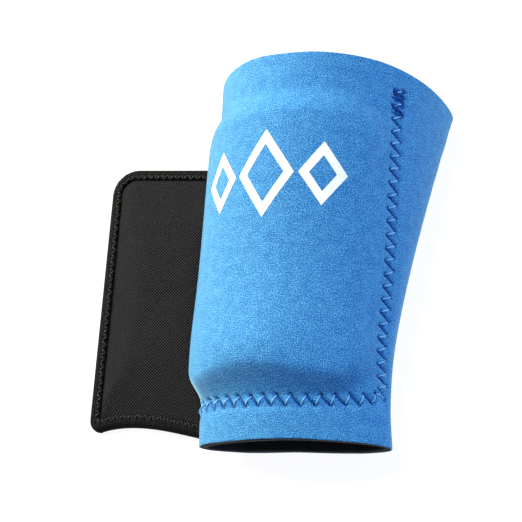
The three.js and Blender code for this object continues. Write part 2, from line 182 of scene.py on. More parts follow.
class SleeveWall:
    """The outside of the tube as a table of smooth sections. A place on it is given by
    y, the distance from the wrist edge, and arc, the distance round from the crown."""

    STATIONS = 221
    STEPS = 961
    SOFTENING = 1.3  # rounds the line where the wall meets the floor
    FACING_REACH = 2.5

    def __init__(self):
        self.along = np.linspace(0, 1, self.STATIONS)
        self.share = np.linspace(-0.5, 0.5, self.STEPS)
        self.perimeter = np.zeros(self.STATIONS)
        self.rows = np.zeros((self.STATIONS, self.STEPS, 5))
        turn = np.linspace(-math.pi, math.pi, 4 * self.STEPS)
        for k, along in enumerate(self.along):
            self.rows[k] = self.section(k, along, turn)

    def section(self, k, along, turn):
        """One section as points spread evenly round it, each with the angle that it came
        from and the way out."""
        half_width = WRIST_WIDTH / 2 + (FOREARM_WIDTH - WRIST_WIDTH) / 2 * section_value("width", along)
        height = WRIST_HEIGHT + (FOREARM_HEIGHT - WRIST_HEIGHT) * section_value("height", along)
        middle = SIDE_SWAY * section_value("sway", along)
        waist = height * section_value("waist", along)
        side, up = np.sin(turn), np.cos(turn)
        power = 2 / np.where(up >= 0, section_value("crown", along), BACK_ROUNDNESS)
        reach = np.where(up >= 0, height - waist, -(waist + FLOOR_PRESS))
        x = middle + half_width * np.sign(side) * np.abs(side) ** power
        z = np.maximum(0, waist + reach * np.abs(up) ** power)
        arc = np.concatenate([[0], np.cumsum(np.hypot(np.diff(x), np.diff(z)))])
        self.perimeter[k] = arc[-1]
        share = arc / arc[-1] - 0.5
        x, z, turn = (np.interp(self.share, share, v) for v in (x, z, turn))
        reach = self.SOFTENING / arc[-1] * (self.STEPS - 1)
        offsets = np.arange(-int(3 * reach) - 1, int(3 * reach) + 2)
        weights = np.exp(-0.5 * (offsets / reach) ** 2)
        weights /= weights.sum()
        around = (np.arange(self.STEPS - 1)[:, None] + offsets) % (self.STEPS - 1)
        x, z = (np.append(s, s[0]) for s in ((v[around] * weights).sum(1) for v in (x, z)))
        step = round(self.FACING_REACH / arc[-1] * (self.STEPS - 1))
        ahead = (np.arange(self.STEPS) + step) % (self.STEPS - 1)
        behind = (np.arange(self.STEPS) - step) % (self.STEPS - 1)
        out = np.stack([z[behind] - z[ahead], x[ahead] - x[behind]], 1)
        out /= np.linalg.norm(out, axis=1)[:, None]
        return np.column_stack([x, z, turn, out])

    def round_at(self, y):
        """The wall's girth at y."""
        return np.interp(y / SLEEVE_LENGTH, self.along, self.perimeter)

    def place(self, y, arc, depth=0.0, lifted=True):
        """Points at a depth below the outside, with the pad's lift or without."""
        y, arc, depth = np.broadcast_arrays(*(np.asarray(v, float) for v in (y, arc, depth)))
        row = np.clip(y / SLEEVE_LENGTH, 0, 1) * (self.STATIONS - 1)
        share = arc / self.round_at(y)
        column = ((share + 0.5) % 1.0) * (self.STEPS - 1)
        r = np.minimum(row.astype(int), self.STATIONS - 2)
        c = np.minimum(column.astype(int), self.STEPS - 2)
        a, b = (row - r)[..., None], (column - c)[..., None]
        value = (
            self.rows[r, c] * (1 - a) * (1 - b) + self.rows[r + 1, c] * a * (1 - b)
            + self.rows[r, c + 1] * (1 - a) * b + self.rows[r + 1, c + 1] * a * b
        )
        x, z, turn = value[..., 0], value[..., 1], value[..., 2]
        out = value[..., 3:] / np.linalg.norm(value[..., 3:], axis=-1)[..., None]
        rise = (pad_lift(y, arc) if lifted else 0) - depth
        return np.stack([
            x + out[..., 0] * rise, y + edge_shift(y / SLEEVE_LENGTH, turn), z + out[..., 1] * rise,
        ], -1)

    def place_and_facing(self, y, arc, depth=0.0):
        """Points and the way out of the cloth there, lengthways slope included."""
        reach = 0.4
        round_step = self.place(y, arc + reach) - self.place(y, arc - reach)
        long_step = self.place(y + reach, arc) - self.place(y - reach, arc)
        facing = np.cross(round_step, long_step)
        facing /= np.linalg.norm(facing, axis=-1)[..., None]
        at = self.place(y, arc)
        return at - facing * np.asarray(depth)[..., None], facing


def pad_width(y):
    """The pad's width round the wall, y along the sleeve."""
    return PAD_WRIST_WIDTH + (PAD_FOREARM_WIDTH - PAD_WRIST_WIDTH) * (y - PAD_START) / PAD_LENGTH


def foot_rise(y, arc):
    """The pad's wrist edge curves up on the right; the rise fades out along the pad."""
    right = np.maximum(0, arc) / (PAD_WRIST_WIDTH / 2)
    return PAD_FOOT_RISE * right**2 * (1 - np.clip((y - PAD_START) / PAD_LENGTH, 0, 1))


def foot_middle(arc):
    """How near a place is to the fuller middle of the pad's foot, from 0 to 1."""
    return np.exp(-((arc - FOOT_MIDDLE) / FOOT_REACH) ** 2)


def pad_lift(place, arc):
    """How far the pad raises the wall: full over the pad, falling off over its shoulder."""
    y = place - foot_rise(place, arc)
    across = np.abs(arc - POCKET_CENTRE) - pad_width(y) / 2 + PAD_CORNER
    lengthways = np.abs(y - PAD_START - PAD_LENGTH / 2) - PAD_LENGTH / 2 + PAD_CORNER
    corner = np.hypot(np.maximum(across, 0), np.maximum(lengthways, 0))
    outside = corner + np.minimum(np.maximum(across, lengthways), 0) - PAD_CORNER
    side = LEFT_SHOULDER + (RIGHT_SHOULDER - LEFT_SHOULDER) * smoothstep(arc / SHOULDER_BLEND)
    from_end = smoothstep((PAD_START + PAD_LENGTH - place) / SHOULDER_BLEND)
    width = TOP_SHOULDER + (side - TOP_SHOULDER) * from_end
    foot = FOOT_SHOULDER + FOOT_SPREAD * foot_middle(arc)
    width = foot + (width - foot) * smoothstep((place - PAD_START) / SHOULDER_BLEND)
    hump = FOOT_HUMP * foot_middle(arc) * np.exp(-((place - PAD_START - HUMP_PLACE) / HUMP_REACH) ** 2)
    return (PAD_THICKNESS + hump) * smoothstep((SHOULDER_REACH - outside) / width)


def edge_shift(along, turn):
    """How far the two cut edges leave square."""
    return (
        along**3 * (FOREARM_CREST * np.cos(turn) - FOREARM_PINCH * np.cos(2 * turn)
                    + FOREARM_CORNERS * np.sin(2 * turn) ** 2)
        - (1 - along) ** 6 * (WRIST_CREST * np.cos(turn) - WRIST_SLANT * np.sin(turn))
    )


wall = SleeveWall()


def row_place():
    """Moves from the sleeve's own frame to the row's, matching the part's box."""
    y = np.linspace(0, SLEEVE_LENGTH, 80)[:, None]
    arc = np.linspace(-0.5, 0.5, 160)[None] * wall.round_at(y)
    points = wall.place(y, arc).reshape(-1, 3)
    low, high = (np.array(v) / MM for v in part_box("sleeve_face"))
    shift = (low + high) / 2 - (points.min(0) + points.max(0)) / 2
    return np.array([shift[0], shift[1], 0.0])


PLACE = row_place()


# Materials

def linear(hex_colour, alpha=1.0):
    """An sRGB hex colour as the linear one that a shader takes."""
    parts = [int(hex_colour[i:i + 2], 16) / 255 for i in (1, 3, 5)]
    return (*(c / 12.92 if c <= 0.04045 else ((c + 0.055) / 1.055) ** 2.4 for c in parts), alpha)


def add(tree, kind, inputs=None, **settings):
    """Adds one node. An input takes a plain value, or an output that is linked to it."""
    node = tree.nodes.new("ShaderNode" + kind)
    for name, value in settings.items():
        setattr(node, name, value)
    for name, value in (inputs or {}).items():
        if isinstance(value, bpy.types.NodeSocket):
            tree.links.new(value, node.inputs[name])
        else:
            node.inputs[name].default_value = value
    return node


def new_material(name):
    material = bpy.data.materials.new(name)
    material.use_nodes = True
    material.node_tree.nodes.clear()
    return material, material.node_tree


def finish_material(tree, shader):
    output = tree.nodes.new("ShaderNodeOutputMaterial")
    tree.links.new(shader.outputs[0], output.inputs["Surface"])


def ramp(tree, factor, stops):
    """A colour ramp from (position, hex colour) stops."""
    node = add(tree, "ValToRGB", {"Fac": factor})
    elements = node.color_ramp.elements
    while len(elements) < len(stops):
        elements.new(0.5)
    for element, (position, colour) in zip(elements, stops):
        element.position = position
        element.color = linear(colour)
    return node


def bands(pitch):
    """The wave texture's scale for bands that lie pitch millimetres apart on the cloth."""
    return math.pi / 10 / pitch


def heathered_jersey(name, dark, middle, light):
    """Polyester jersey laminated on foam, knitted from melange yarn: the eye sees fine
    light and dark flecks a stitch or two across, a soft sheen at glancing angles, and
    close up the columns of loops. Painted shade darkens the colour towards deep blue in
    the seam's dents and on the fold at the pad's foot. Stitches are drawn 0.8 mm apart,
    coarser than the real 0.5 mm, so that they show."""
    material, tree = new_material(name)
    uv = add(tree, "UVMap", uv_map="cloth").outputs["UV"]
    stitch = bands(0.8)
    fleck = add(tree, "TexNoise", {"Vector": uv, "Scale": 2.2, "Detail": 1.0, "Roughness": 0.6})
    mottle = add(tree, "TexNoise", {"Vector": uv, "Scale": 0.28, "Detail": 2.0, "Roughness": 0.5})
    mixed = add(tree, "Math", {0: fleck.outputs["Fac"], 1: 0.84}, operation="MULTIPLY")
    mixed = add(tree, "Math", {0: mottle.outputs["Fac"], 1: 0.16, 2: mixed.outputs[0]},
                operation="MULTIPLY_ADD")
    yarn = ramp(tree, mixed.outputs[0], [(0.36, dark), (0.5, middle), (0.64, light)])
    # painted shade: the colour mixes towards deep blue in the seam's dents and on the fold at the pad's foot
    painted_crease_shade = add(tree, "Attribute", attribute_name="painted_crease_shade").outputs["Fac"]
    colour = add(tree, "MixRGB", {"Fac": painted_crease_shade, "Color1": yarn.outputs["Color"],
                                  "Color2": linear("#0c3a8a")})
    columns, courses = (
        add(tree, "TexWave", {"Vector": uv, "Scale": stitch, "Distortion": 0.6, "Detail": 1.0},
            wave_type="BANDS", bands_direction=direction)
        for direction in "XY")
    loops = add(tree, "Math", {0: columns.outputs["Fac"], 1: courses.outputs["Fac"]}, operation="MULTIPLY")
    height = add(tree, "Math", {0: fleck.outputs["Fac"], 1: 0.9, 2: loops.outputs[0]},
                 operation="MULTIPLY_ADD")
    bump = add(tree, "Bump", {"Height": height.outputs[0], "Strength": 0.35, "Distance": 0.00018})
    shader = add(tree, "BsdfPrincipled", {
        "Base Color": colour.outputs["Color"], "Roughness": 0.72, "Specular IOR Level": 0.15,
        "Sheen Weight": 0.8, "Sheen Roughness": 0.36, "Sheen Tint": linear("#bcf2f8"),
        "Normal": bump.outputs["Normal"],
    })
    finish_material(tree, shader)
    return material


def rib_knit(name, dark, light, pitch, slant, depth):
    """Black polyester warp knit: fine slanted ribs, broken into short dashes, between dark
    lines. The colour follows the relief and a random grain: the rib tops are lighter, a
    painted highlight, and the lines between darker, a painted shade. pitch is the distance
    between ribs in millimetres, slant the angle by which the pattern is turned, and depth
    that of the relief."""
    material, tree = new_material(name)
    uv = add(tree, "UVMap", uv_map="cloth").outputs["UV"]
    turned = add(tree, "Mapping", {"Vector": uv, "Rotation": (0, 0, slant)})
    ribs = add(tree, "TexWave", {"Vector": turned.outputs[0], "Scale": bands(pitch),
                                 "Distortion": 0.5, "Detail": 1.0, "Detail Scale": 2.0},
               wave_type="BANDS", bands_direction="X")
    cross = add(tree, "TexWave", {"Vector": turned.outputs[0], "Scale": bands(pitch * 0.8),
                                  "Distortion": 1.0}, wave_type="BANDS", bands_direction="Y")
    grain = add(tree, "TexNoise", {"Vector": uv, "Scale": 1.6, "Detail": 2.0})
    height = add(tree, "Math", {0: cross.outputs["Fac"], 1: 0.9, 2: ribs.outputs["Fac"]},
                 operation="MULTIPLY_ADD")
    height = add(tree, "Math", {0: grain.outputs["Fac"], 1: 1.0, 2: height.outputs[0]},
                 operation="MULTIPLY_ADD")
    # painted highlight and shade: the colour is lighter on the rib tops and darker between them, with random
    # grain
    level = add(tree, "Math", {0: height.outputs[0], 1: 0.35}, operation="MULTIPLY")
    colour = ramp(tree, level.outputs[0], [(0.42, dark), (0.66, light)])
    bump = add(tree, "Bump", {"Height": height.outputs[0], "Strength": 0.6, "Distance": depth * MM})
    shader = add(tree, "BsdfPrincipled", {
        "Base Color": colour.outputs["Color"], "Roughness": 0.75, "Specular IOR Level": 0.06,
        "Normal": bump.outputs["Normal"],
    })
    finish_material(tree, shader)
    return material


def closed_cell_foam(name, colour):
    """Chloroprene foam, cut with a blade: matt, with pores about 0.3 mm across."""
    material, tree = new_material(name)
    place = add(tree, "TexCoord").outputs["Object"]
    pores = add(tree, "TexVoronoi", {"Vector": place, "Scale": 2200.0})
    tone = ramp(tree, pores.outputs["Distance"], [(0.0, "#0b0b0c"), (0.5, colour)])
    bump = add(tree, "Bump", {"Height": pores.outputs["Distance"], "Strength": 0.5, "Distance": 0.0001})
    shader = add(tree, "BsdfPrincipled", {
        "Base Color": tone.outputs["Color"], "Roughness": 0.85, "Specular IOR Level": 0.25,
        "Normal": bump.outputs["Normal"],
    })
    finish_material(tree, shader)
    return material


def twisted_thread(name, colour, shade, shine):
    """Bulked polyester sewing thread: its twisted plies show as slanted bands half a
    millimetre apart, a little shinier than the cloth."""
    material, tree = new_material(name)
    uv = add(tree, "UVMap", uv_map="cloth").outputs["UV"]
    turned = add(tree, "Mapping", {"Vector": uv, "Rotation": (0, 0, 0.9)})
    plies = add(tree, "TexWave", {"Vector": turned.outputs[0], "Scale": 0.62},
                wave_type="BANDS", bands_direction="X")
    tone = ramp(tree, plies.outputs["Fac"], [(0.0, shade), (0.6, colour)])
    bump = add(tree, "Bump", {"Height": plies.outputs["Fac"], "Strength": 0.7, "Distance": 0.0001})
    shader = add(tree, "BsdfPrincipled", {
        "Base Color": tone.outputs["Color"], "Roughness": 0.45, "Specular IOR Level": shine,
        "Normal": bump.outputs["Normal"],
    })
    finish_material(tree, shader)
    return material


def transfer_print(name):
    """White heat-transfer ink: smooth and opaque, with the knit just showing through."""
    material, tree = new_material(name)
    uv = add(tree, "UVMap", uv_map="cloth").outputs["UV"]
    knit = add(tree, "TexNoise", {"Vector": uv, "Scale": 1.15, "Detail": 2.0})
    tone = ramp(tree, knit.outputs["Fac"], [(0.3, "#f2f5f8"), (0.6, "#ffffff")])
    bump = add(tree, "Bump", {"Height": knit.outputs["Fac"], "Strength": 0.2, "Distance": 0.0001})
    shader = add(tree, "BsdfPrincipled", {
        "Base Color": tone.outputs["Color"], "Roughness": 0.5, "Normal": bump.outputs["Normal"],
    })
    finish_material(tree, shader)
    return material


def studio_paper(name):
    """Matt white background paper. It glows a little, as paper lit from behind does."""
    material, tree = new_material(name)
    tooth = add(tree, "TexNoise", {"Scale": 900.0, "Detail": 1.0})
    bump = add(tree, "Bump", {"Height": tooth.outputs["Fac"], "Strength": 0.02, "Distance": 0.0001})
    shader = add(tree, "BsdfPrincipled", {
        "Base Color": linear("#6e6e70"), "Roughness": 0.9, "Specular IOR Level": 0.0,
        "Emission Color": (1, 1, 1, 1), "Emission Strength": 0.93, "Normal": bump.outputs["Normal"],
    })
    finish_material(tree, shader)
    return material


BLUE_JERSEY = heathered_jersey("blue_jersey", "#1a5a9e", "#3480c0", "#62aede")
BLACK_LINING = rib_knit("black_lining", "#1c1c1d", "#3a3a3c", 0.9, 0.0, 0.12)
FOAM_EDGE = closed_cell_foam("foam_edge", "#0e0e0f")
PAD_FOAM = closed_cell_foam("pad_foam", "#2c2d30")
RIB_COVER = rib_knit("rib_cover", "#010101", "#333338", 1.05, 0.66, 0.6)
EDGE_TAPE = rib_knit("edge_tape", "#010101", "#1c1c1e", 1.0, 0.0, 0.22)
# a lighter copy of the blue thread: its own blue with a painted highlight, for the raised strokes
HIGHLIT_THREAD = twisted_thread("highlit_blue_thread", "#8ed0f8", "#3f88d2", 0.55)
# a darker copy of the same blue thread, painted shade, for the sunk strokes and the bar tacks
SHADED_THREAD = twisted_thread("painted_shade_thread", "#1c5cb0", "#0c3880", 0.1)
BLACK_THREAD = twisted_thread("black_thread", "#242426", "#060607", 0.35)
WHITE_PRINT = transfer_print("white_print")
PAPER = studio_paper("studio_paper")


# Meshes

def make_piece(name, points, faces, material, uv):
    """A piece from points in the sleeve's frame. uv holds one pair for each face corner."""
    mesh = bpy.data.meshes.new(name)
    mesh.from_pydata(((points + PLACE) * MM).tolist(), [], [list(map(int, f)) for f in faces])
    layer = mesh.uv_layers.new(name="cloth")
    layer.data.foreach_set("uv", np.asarray(uv, np.float32).ravel())
    mesh.polygons.foreach_set("use_smooth", [True] * len(mesh.polygons))
    mesh.materials.append(material)
    mesh.update()
    piece = bpy.data.objects.new(name, mesh)
    bpy.context.scene.collection.objects.link(piece)
    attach(piece, "root")
    return piece


def sheet_faces(rows, columns, closed=False, flip=False):
    """Quads over a grid of points; closed joins the last column to the first. The second
    result gives each face corner's row and column, for its place on the cloth."""
    across = columns if closed else columns - 1
    r, c = np.meshgrid(np.arange(rows - 1), np.arange(across), indexing="ij")
    r, c = r.ravel(), c.ravel()
    corner_r = np.stack([r, r, r + 1, r + 1], 1)
    corner_c = np.stack([c, c + 1, c + 1, c], 1)
    if flip:
        corner_r, corner_c = corner_r[:, ::-1], corner_c[:, ::-1]
    return corner_r * columns + corner_c % columns, (corner_r, corner_c)


def end_caps(loops):
    """The two faces that close a stack of loops."""
    rows, columns = loops.shape[:2]
    return [list(range(columns)), list(range((rows - 1) * columns, rows * columns))[::-1]]


def tube_layer(y, share, depth):
    """A skin round the tube, a row of points for each y."""
    y = y[:, None]
    arc = share[None] * wall.round_at(y)
    return wall.place(np.broadcast_to(y, arc.shape), arc, depth)


# The pocket's seam, down the right side, along the foot and up the left side

SEAM_FOOT = PAD_START - POCKET_MARGIN


def seam_arc(y, side):
    """How far round the wall the seam runs on the right (side 1) or the left (side -1)."""
    return POCKET_CENTRE + side * (pad_width(y) / 2 + POCKET_MARGIN)


def seam_line():
    """The seam's middle line as (arc, y) points a quarter of a millimetre apart."""
    line = [np.array([(seam_arc(y, 1), y) for y in (SEAM_TOP, SEAM_MIDDLE)])]
    for side, first, last in ((1, 0, -math.pi / 2), (-1, -math.pi / 2, -math.pi)):
        centre = np.array([seam_arc(SEAM_FOOT, side) - SEAM_CORNER * side, SEAM_FOOT + SEAM_CORNER])
        angles = np.linspace(first, last, 12)
        line.append(centre + SEAM_CORNER * np.column_stack([np.cos(angles), np.sin(angles)]))
        if side == 1:
            along_foot = np.linspace(centre[0], seam_arc(SEAM_FOOT, -1) + SEAM_CORNER, 30)[1:-1]
            line.append(np.column_stack([along_foot, np.full(len(along_foot), SEAM_FOOT)]))
    line.append(np.array([(seam_arc(y, -1), y) for y in (SEAM_MIDDLE, SEAM_TOP)]))
    line = np.concatenate(line)
    line[:, 1] += foot_rise(line[:, 1], line[:, 0])
    length = np.concatenate([[0], np.cumsum(np.linalg.norm(np.diff(line, axis=0), axis=1))])
    at = np.arange(0, length[-1], 0.25)
    return np.column_stack([np.interp(at, length, line[:, i]) for i in (0, 1)]), at


def zigzag(line, at, start, end, stitch, width, phase=0):
    """Needle points on alternate sides of a stretch of a line, half a stitch apart. width
    may be a pair, for a zigzag that narrows, and phase 1 starts on the other side. The
    points stray a little, as sewn ones do."""
    count = max(2, round((end - start) / (stitch / 2)))
    where = np.linspace(start, end, count + 1)
    on_line = lambda place: np.column_stack([np.interp(place, at, line[:, i]) for i in (0, 1)])
    middle = on_line(where)
    ahead = on_line(where + 0.5) - on_line(where - 0.5)
    ahead /= np.linalg.norm(ahead, axis=1)[:, None]
    across = np.column_stack([-ahead[:, 1], ahead[:, 0]])
    width = np.linspace(*np.broadcast_to(width, 2), count + 1)
    swing = np.where((np.arange(count + 1) + phase) % 2 == 0, 0.5, -0.5) * width
    swing = swing + rng.normal(0, STRAY_ACROSS, count + 1)
    return middle + across * swing[:, None] + ahead * rng.normal(0, STRAY_ALONG, (count + 1, 1))


SEAM, SEAM_AT = seam_line()
# Where the foot's longer stitches begin and end
FOOT_FROM = SEAM_AT[np.argmax(SEAM[:, 0] < seam_arc(SEAM_FOOT, 1) - 3)]
FOOT_TO = SEAM_AT[len(SEAM) - 1 - np.argmax(SEAM[::-1, 0] > seam_arc(SEAM_FOOT, -1) + 3)]


def seam_needles():
    """Needle points of the whole seam, and of the dense tacks that lock its two ends."""
    seam = np.concatenate([
        zigzag(SEAM, SEAM_AT, 0, FOOT_FROM, SIDE_STITCH, STITCH_WIDTH),
        zigzag(SEAM, SEAM_AT, FOOT_FROM, FOOT_TO, FOOT_STITCH, FOOT_STITCH_WIDTH, 1),
        zigzag(SEAM, SEAM_AT, FOOT_TO, SEAM_AT[-1], SIDE_STITCH, STITCH_WIDTH),
    ])
    end = SEAM_AT[-1]
    tacks = [zigzag(SEAM, SEAM_AT, first, last, stitch, (tip, root), phase)
             for first, last, stitch, tip, root, phase in TACK_ZIGZAGS]
    tacks += [zigzag(SEAM, SEAM_AT, end - last, end - first, stitch, (root, tip), phase)
              for first, last, stitch, tip, root, phase in TACK_ZIGZAGS]
    return seam, tacks


SEAM_NEEDLES, TACK_NEEDLES = seam_needles()


def nearest(points, targets, chunk=4000):
    """Distance from each point to the nearest target."""
    found = np.empty(len(points))
    for k in range(0, len(points), chunk):
        block = points[k:k + chunk, None] - targets[None]
        found[k:k + chunk] = np.sqrt((block**2).sum(-1).min(1))
    return found


def along_thread(needles, per_stitch=3):
    """Points along a whole zigzag."""
    t = np.linspace(0, 1, per_stitch, endpoint=False)[None, :, None]
    return (needles[:-1, None] * (1 - t) + needles[1:, None] * t).reshape(-1, 2)


def stroke_points(first, per_stitch=8):
    """Points along every second stroke of the zigzag, from the given one on."""
    start, end = SEAM_NEEDLES[first:-1:2], SEAM_NEEDLES[first + 1::2]
    t = np.linspace(0, 1, per_stitch)[None, :, None]
    return (start[:, None] * (1 - t) + end[:, None] * t).reshape(-1, 2)


def puff_middles():
    """The middles of the little puffs of cloth between the sunk strokes."""
    centre = (SEAM_NEEDLES[1:-1:2] + SEAM_NEEDLES[2::2]) / 2
    return (centre[:-1] + centre[1:]) / 2


def near_seam(flat):
    """True for places within a few millimetres of the seam."""
    arc, y = flat[:, 0], flat[:, 1]
    sides = np.minimum(np.abs(arc - seam_arc(y, 1)), np.abs(arc - seam_arc(y, -1)))
    inside = (arc < seam_arc(y, 1) + SEAM_ZONE) & (arc > seam_arc(y, -1) - SEAM_ZONE)
    foot = SEAM_FOOT + foot_rise(y, arc)
    beside = (sides < SEAM_ZONE) | (y < foot + SEAM_ZONE)
    return inside & (y > foot - SEAM_ZONE) & (y < SEAM_TOP + TACK_ZONE) & beside


def seam_relief(y, arc):
    """Depth of the cloth below its smooth outside, round the pocket's stitching."""
    flat = np.column_stack([arc.ravel(), y.ravel()])
    near = np.flatnonzero(near_seam(flat))
    total = np.zeros(len(flat))
    tack_lines = np.concatenate([along_thread(needles) for needles in TACK_NEEDLES])
    for middles, (depth, reach) in (
        (SEAM[::4], SEAM_GROOVE), (SEAM_NEEDLES, NEEDLE_HOLE), (stroke_points(1), SUNK_STROKE),
        (stroke_points(0), RAISED_STROKE), (puff_middles(), CLOTH_PUFF), (tack_lines, TACK_DENT),
    ):
        total[near] += depth * np.exp(-(nearest(flat[near], middles) / reach) ** 2)
    return total.reshape(y.shape)


# The sleeve

def jersey_columns(y):
    """Distances round the wall, a row for each y: close together beside the two seams,
    and stretched round the back to fit each row's girth."""
    stops = [(-FRONT_REACH, MESH_STEP)]
    for side in (-1, 1):
        seam = seam_arc(SEAM_MIDDLE, side)
        stops += [(seam - SEAM_MESH_REACH, SEAM_MESH_STEP), (seam + SEAM_MESH_REACH, MESH_STEP)]
    stops.append((FRONT_REACH, None))
    middle = np.concatenate([
        np.arange(a, b - step / 2, (b - a) / round((b - a) / step))
        for (a, step), (b, _) in zip(stops, stops[1:])
    ])
    back = np.linspace(0, 1, BACK_COLUMNS, endpoint=False)
    spare = wall.round_at(y) - 2 * FRONT_REACH
    behind = FRONT_REACH + spare * back[None]
    return np.concatenate([middle[None] * np.ones_like(y), behind], 1)


def sleeve_jersey():
    """The blue face: the knit with its seam pressed in, turned down at the cut edges."""
    rows = 300
    y = np.linspace(0, SLEEVE_LENGTH, rows)[:, None]
    arc = jersey_columns(y)
    columns = arc.shape[1]
    y = y * np.ones((1, columns))
    share = arc[0] / wall.round_at(0)
    depth = seam_relief(y, arc)
    at, facing = wall.place_and_facing(np.clip(y, 0.5, SLEEVE_LENGTH - 0.5), arc)
    outside = wall.place(y, arc) - facing * depth[..., None]
    wander = np.zeros((2, columns))
    for wave in range(3, 9):
        height = rng.normal(0, 0.05, (2, 1))
        wander += height * np.cos(wave * 2 * math.pi * share + rng.uniform(0, 6, (2, 1)))
    outside[0, :, 1] += wander[0]
    outside[-1, :, 1] += wander[1]
    inner = lambda row: outside[row] - facing[row] * KNIT_THICKNESS
    skin = np.concatenate([[inner(0)], outside, [inner(-1)]])
    skin[..., 2] = np.maximum(skin[..., 2], 0)
    faces, (r, c) = sheet_faces(rows + 2, columns, closed=True, flip=True)
    y_rows = np.concatenate([[-KNIT_THICKNESS], y[:, 0], [SLEEVE_LENGTH + KNIT_THICKNESS]])
    closing = np.column_stack([arc, arc[:, 0] + wall.round_at(y[:, 0])])
    uv = np.stack([closing[np.clip(r - 1, 0, rows - 1), c], y_rows[r]], -1)
    piece = make_piece("sleeve_jersey", skin.reshape(-1, 3), faces, BLUE_JERSEY, uv)
    # painted shade, kept as a point attribute: deeper in the seam's dents, and on the pad's foot by the
    # fold's steepness
    foot_slope = np.clip(pad_lift(y + 0.5, arc) - pad_lift(y - 0.5, arc), 0, 1)
    painted_crease_shade = np.zeros((rows + 2, columns))
    painted_crease_shade[1:-1] = np.clip((depth - CREASE_SHADE_FROM) / CREASE_SHADE_SPAN, FOLD_SHADE * foot_slope, CREASE_SHADE_MOST)
    tone = piece.data.attributes.new("painted_crease_shade", "FLOAT", "POINT")
    tone.data.foreach_set("value", painted_crease_shade.ravel())
    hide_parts("sleeve_face")
    return piece


def seam_room(y, share):
    """Depth of the lining's outer side, lower where the stitches press the knit in."""
    y = y[:, None] * np.ones((1, len(share)))
    arc = share[None] * wall.round_at(y)
    line = nearest(np.column_stack([arc.ravel(), y.ravel()]), SEAM[::8]).reshape(y.shape)
    depth, reach = LINING_DIP
    return KNIT_THICKNESS + 0.05 + depth * np.exp(-(line / reach) ** 4)


def sleeve_lining():
    """Black foam with a knit lining: the cut edge shows at both openings."""
    rows, columns = 120, 200
    edge_draw = 0.105  # the cut faces draw in a little
    share = np.arange(columns) / columns - 0.5
    y = np.linspace(0, SLEEVE_LENGTH, rows)
    outer = tube_layer(y, share, seam_room(y, share))
    inner = tube_layer(y, share, WALL_THICKNESS)[::-1]
    loops = np.concatenate([outer, inner])
    loops[..., 2] = np.maximum(loops[..., 2], 0.02)
    for row, push in ((0, 1), (rows - 1, -1), (rows, -1), (2 * rows - 1, 1)):
        loops[row, :, 1] += push * edge_draw
    loops = np.concatenate([loops, loops[:1]])
    faces, (r, c) = sheet_faces(len(loops), columns, closed=True, flip=True)
    faces = np.where(faces >= 2 * rows * columns, faces - 2 * rows * columns, faces)
    turn = SLEEVE_LENGTH + WALL_THICKNESS
    length = np.concatenate([y, turn + y, [2 * turn]])
    uv = np.stack([c / columns * wall.round_at(0.5 * SLEEVE_LENGTH), length[r]], -1)
    piece = make_piece("sleeve_lining", loops[:-1].reshape(-1, 3), faces, BLACK_LINING, uv)
    piece.data.materials.append(FOAM_EDGE)
    edge = (r.min(1) == rows - 1) | (r.max(1) == 2 * rows)
    piece.data.polygons.foreach_set("material_index", edge.astype(np.int32))
    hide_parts("sleeve_core")
    return piece


def rounded_outline(corners, radii, inset=0.0, pull=0.0, corner_steps=8, side_steps=24):
    """A closed outline through four corners; pull draws the first side in."""
    corners = np.asarray(corners, float)
    unit = lambda v: v / np.linalg.norm(v)
    points = []
    for i, corner in enumerate(corners):
        radius, next_radius = radii[i], radii[(i + 1) % 4]
        back = unit(corners[i - 1] - corner)
        ahead = unit(corners[(i + 1) % 4] - corner)
        half = math.acos(np.clip(back @ ahead, -1, 1)) / 2
        bisector = unit(back + ahead)
        centre = corner + bisector * radius / math.sin(half)
        sweep = math.pi - 2 * half
        start = math.atan2(-bisector[1], -bisector[0]) - sweep / 2
        angles = start + sweep * np.linspace(0, 1, corner_steps + 1)
        points.extend(centre + (radius - inset) * np.column_stack([np.cos(angles), np.sin(angles)]))
        following = corners[(i + 1) % 4]
        onward = unit(corners[(i + 2) % 4] - following)
        next_half = math.acos(np.clip(unit(corner - following) @ onward, -1, 1)) / 2
        inwards = np.array([-ahead[1], ahead[0]])
        end = following + unit(corner - following) * next_radius / math.tan(next_half) + inwards * inset
        begin = points[-1]
        for k in range(1, side_steps):
            t = k / side_steps
            drawn = pull * math.sin(math.pi * t**0.75) if i == 0 else 0
            points.append(begin * (1 - t) + end * t + inwards * drawn)
    return np.array(points)


def pocket_plate(name, margin, top, bottom, material, node):
    """A sheet or pad that lies in the pocket, bent to the wrist."""
    low, high = PAD_START - margin, PAD_START + PAD_LENGTH + margin
    corners = [(POCKET_CENTRE + side * (pad_width(y) / 2 + margin), y)
               for y, side in ((low, -1), (low, 1), (high, 1), (high, -1))]
    edge = rounded_outline(corners, [PAD_CORNER + margin] * 4)
    middle = np.array([POCKET_CENTRE, PAD_START + PAD_LENGTH / 2])
    shares = np.array([1.0, 0.985, 0.95, 0.9, 0.84, 0.76, 0.66, 0.54, 0.4, 0.26, 0.12, 0.02])
    rings = middle + (edge - middle)[None] * shares[:, None, None]
    flat = np.concatenate([rings[::-1], rings])
    rings[..., 1] += foot_rise(rings[..., 1], rings[..., 0])
    tops = wall.place(rings[..., 1], rings[..., 0], *top)
    bottoms = wall.place(rings[..., 1], rings[..., 0], *bottom)
    loops = np.concatenate([tops[::-1], bottoms])
    faces, (r, c) = sheet_faces(len(loops), len(edge), closed=True, flip=True)
    uv = flat[r, c % len(edge)]
    uv = np.concatenate([uv.reshape(-1, 2), flat[0], flat[-1][::-1]])
    piece = make_piece(name, loops.reshape(-1, 3), list(faces) + end_caps(loops), material, uv)
    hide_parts(node)
    return piece


# Thread

